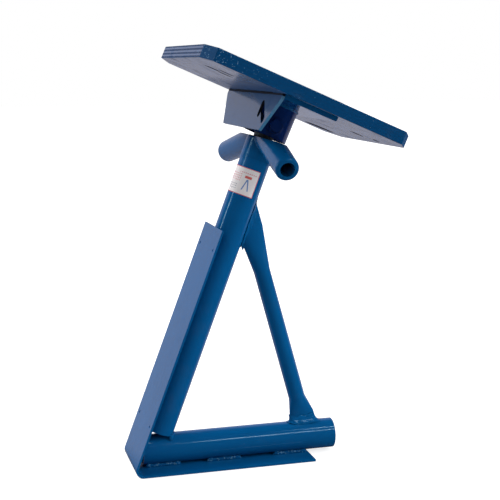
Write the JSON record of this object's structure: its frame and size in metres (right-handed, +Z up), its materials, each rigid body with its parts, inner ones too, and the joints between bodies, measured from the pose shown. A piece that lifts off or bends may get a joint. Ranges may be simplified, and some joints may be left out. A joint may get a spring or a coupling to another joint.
{
  "type": "adjustable screw-jack support stand",
  "caption": "Leaning-post support stand on a bent strip foot, with a cast wing nut that raises a screw and a square plywood pad that tilts on a cross bolt.",
  "frame": {"origin": "middle of the foot strip's underside, on the floor", "axes": "+Z up, +X along the foot towards the base tube's open end, Y across the stand"},
  "size_m": [0.4093, 0.343, 0.6611],
  "materials": {
    "blue_enamel": "glossy blue enamel over welded steel",
    "blue_cast": "glossy blue enamel over a sand casting",
    "blue_plywood": "blue enamel over plywood, plies showing at the edges",
    "oiled_steel": "bare turned steel, oiled"
  },
  "bodies": {
    "stand": {"foot_strip": "blue_enamel", "base_tube": "blue_enamel", "post_tube": "blue_enamel", "brace_tube": "blue_enamel", "strip_welds": "blue_enamel", "post_foot_weld": "blue_enamel", "brace_welds": "blue_enamel", "thrust_washer": "blue_enamel"},
    "nut": {"wing_nut": "blue_cast"},
    "screw": {"lift_screw": "oiled_steel", "pivot_sleeve": "blue_enamel"},
    "head": {"pivot_bolt": "blue_enamel", "pivot_nut": "blue_enamel", "pivot_washers": "blue_enamel", "head_socket": "blue_enamel", "top_plate": "blue_enamel", "chain_plate": "blue_enamel", "head_welds": "blue_enamel", "plywood_pad": "blue_plywood", "pad_screws": "blue_enamel"}
  },
  "joints": [
    {"name": "lift", "type": "slide", "parent": "stand", "child": "screw", "axis": [0.3551, 0, 0.9348], "range_m": [0, 0.2]},
    {"name": "nut_turn", "type": "hinge", "parent": "stand", "child": "nut", "pos_m": [0.06442, 0, 0.48424], "axis": [-0.3551, 0, -0.9348], "range_deg": [0, 11338.59]},
    {"name": "head_tilt", "type": "hinge", "parent": "screw", "child": "head", "pos_m": [0.08537, 0, 0.53939], "axis": [0, 1, 0], "range_deg": [-14.5, 9.5]}
  ],
  "couplings": [
    {"joint": "nut_turn", "follows": "lift", "rad_per_m": 989.48}
  ]
}
